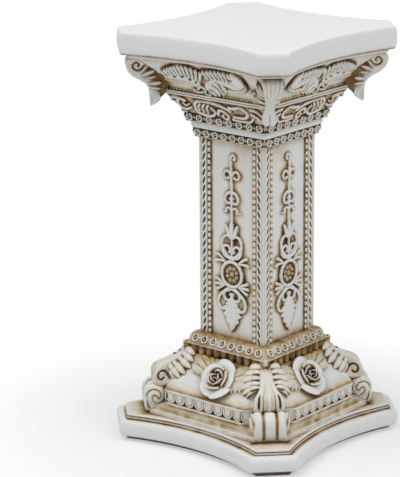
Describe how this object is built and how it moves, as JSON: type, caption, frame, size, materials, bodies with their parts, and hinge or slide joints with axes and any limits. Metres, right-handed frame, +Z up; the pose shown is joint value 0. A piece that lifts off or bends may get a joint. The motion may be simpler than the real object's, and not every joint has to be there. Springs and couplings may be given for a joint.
{
  "type": "decorative column",
  "caption": "Square carved column with a bowed top slab and plinth, a panelled shaft, a rose-set base bell and a scrolled capital; it stands free and carries a candle or a small plant.",
  "frame": {"origin": "centre of the footprint, on the surface that the column stands on", "axes": "+Z up through the shaft; -Y and +X are the two faces that the picture shows, with their shared corner to the front"},
  "size_m": [0.146, 0.146, 0.26],
  "materials": {
    "casting": "matte antique white with a thin ochre wash in the recesses",
    "ornament": "matte antique white relief with a brown wash in the recesses",
    "foot_pad": "dark taupe felt"
  },
  "bodies": {
    "root": {"foot_pad": "foot_pad", "plinth": "casting", "base_block": "casting", "lower_collar": "casting", "shaft_core": "casting", "upper_collar": "casting", "capital_bell": "casting", "top_slab": "casting", "ring_row_bottom": "ornament", "ring_row_middle": "ornament", "ring_row_top": "ornament", "frieze_front": "ornament", "frieze_right": "ornament", "frieze_back": "ornament", "frieze_left": "ornament", "volute_front_right": "ornament", "volute_back_right": "ornament", "volute_back_left": "ornament", "volute_front_left": "ornament", "acanthus_front_right": "ornament", "acanthus_back_right": "ornament", "acanthus_back_left": "ornament", "acanthus_front_left": "ornament", "rose_front": "ornament", "rose_right": "ornament", "rose_back": "ornament", "rose_left": "ornament", "rose_leaves_front": "ornament", "rose_leaves_right": "ornament", "rose_leaves_back": "ornament", "rose_leaves_left": "ornament", "moulding_front_right": "ornament", "moulding_back_right": "ornament", "moulding_back_left": "ornament", "moulding_front_left": "ornament", "panel_front": "ornament", "panel_right": "ornament", "panel_back": "ornament", "panel_left": "ornament", "scroll_frieze_front": "ornament", "scroll_frieze_right": "ornament", "scroll_frieze_back": "ornament", "scroll_frieze_left": "ornament", "palmette_front": "ornament", "palmette_right": "ornament", "palmette_back": "ornament", "palmette_left": "ornament", "bracket_front_right": "ornament", "bracket_back_right": "ornament", "bracket_back_left": "ornament", "bracket_front_left": "ornament"}
  },
  "joints": []
}
